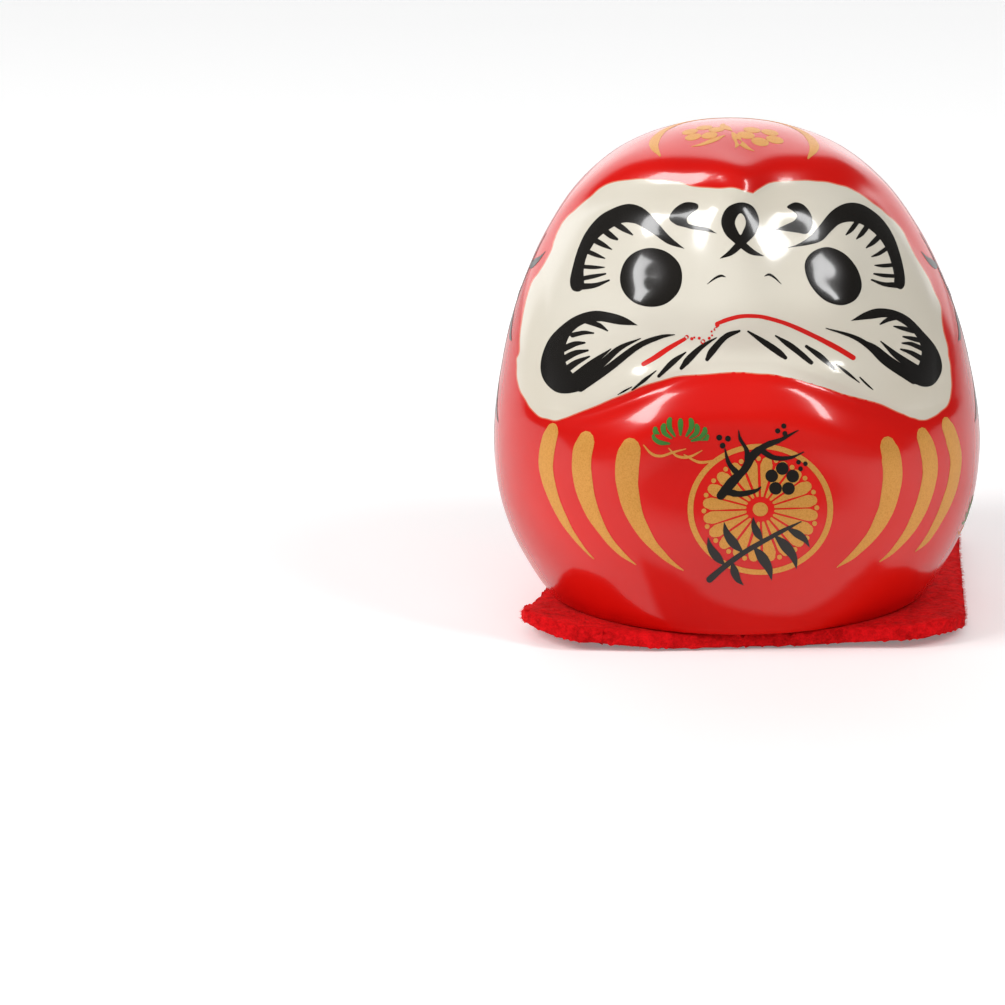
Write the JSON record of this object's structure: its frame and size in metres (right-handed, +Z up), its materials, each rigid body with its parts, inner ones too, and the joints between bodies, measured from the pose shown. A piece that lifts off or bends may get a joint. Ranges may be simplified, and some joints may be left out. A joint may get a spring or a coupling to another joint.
{
  "type": "ceramic daruma doll ornament",
  "caption": "Hollow glazed ceramic daruma figurine with a moulded scowling face, soft plug in its base hole, standing loose on a square felt mat.",
  "frame": {"origin": "bottom centre of the whole piece's box, on the surface that the felt mat lies on", "axes": "+Z up; the doll's face looks along -Y; +X is to the right of someone looking at the face"},
  "size_m": [0.06, 0.0626, 0.0604],
  "materials": {
    "red_glaze": "thick glossy red glaze over slip-cast earthenware",
    "plug_rubber": "soft translucent off-white rubber",
    "red_felt": "fuzzy pressed felt, deep red"
  },
  "bodies": {
    "mat": {"felt_mat": "red_felt"},
    "doll": {"doll_shell": "red_glaze"},
    "plug": {"vent_plug": "plug_rubber"}
  },
  "joints": [
    {"name": "doll_lift", "type": "slide", "parent": "mat", "child": "doll", "axis": [0, 0, 1], "range_m": [0, 0.08]},
    {"name": "plug_pull", "type": "slide", "parent": "doll", "child": "plug", "axis": [0, 0, -1], "range_m": [0, 0.02]}
  ],
  "couplings": [
    {"joint": "plug_pull", "follows": "doll_lift", "ratio": 0.25}
  ]
}
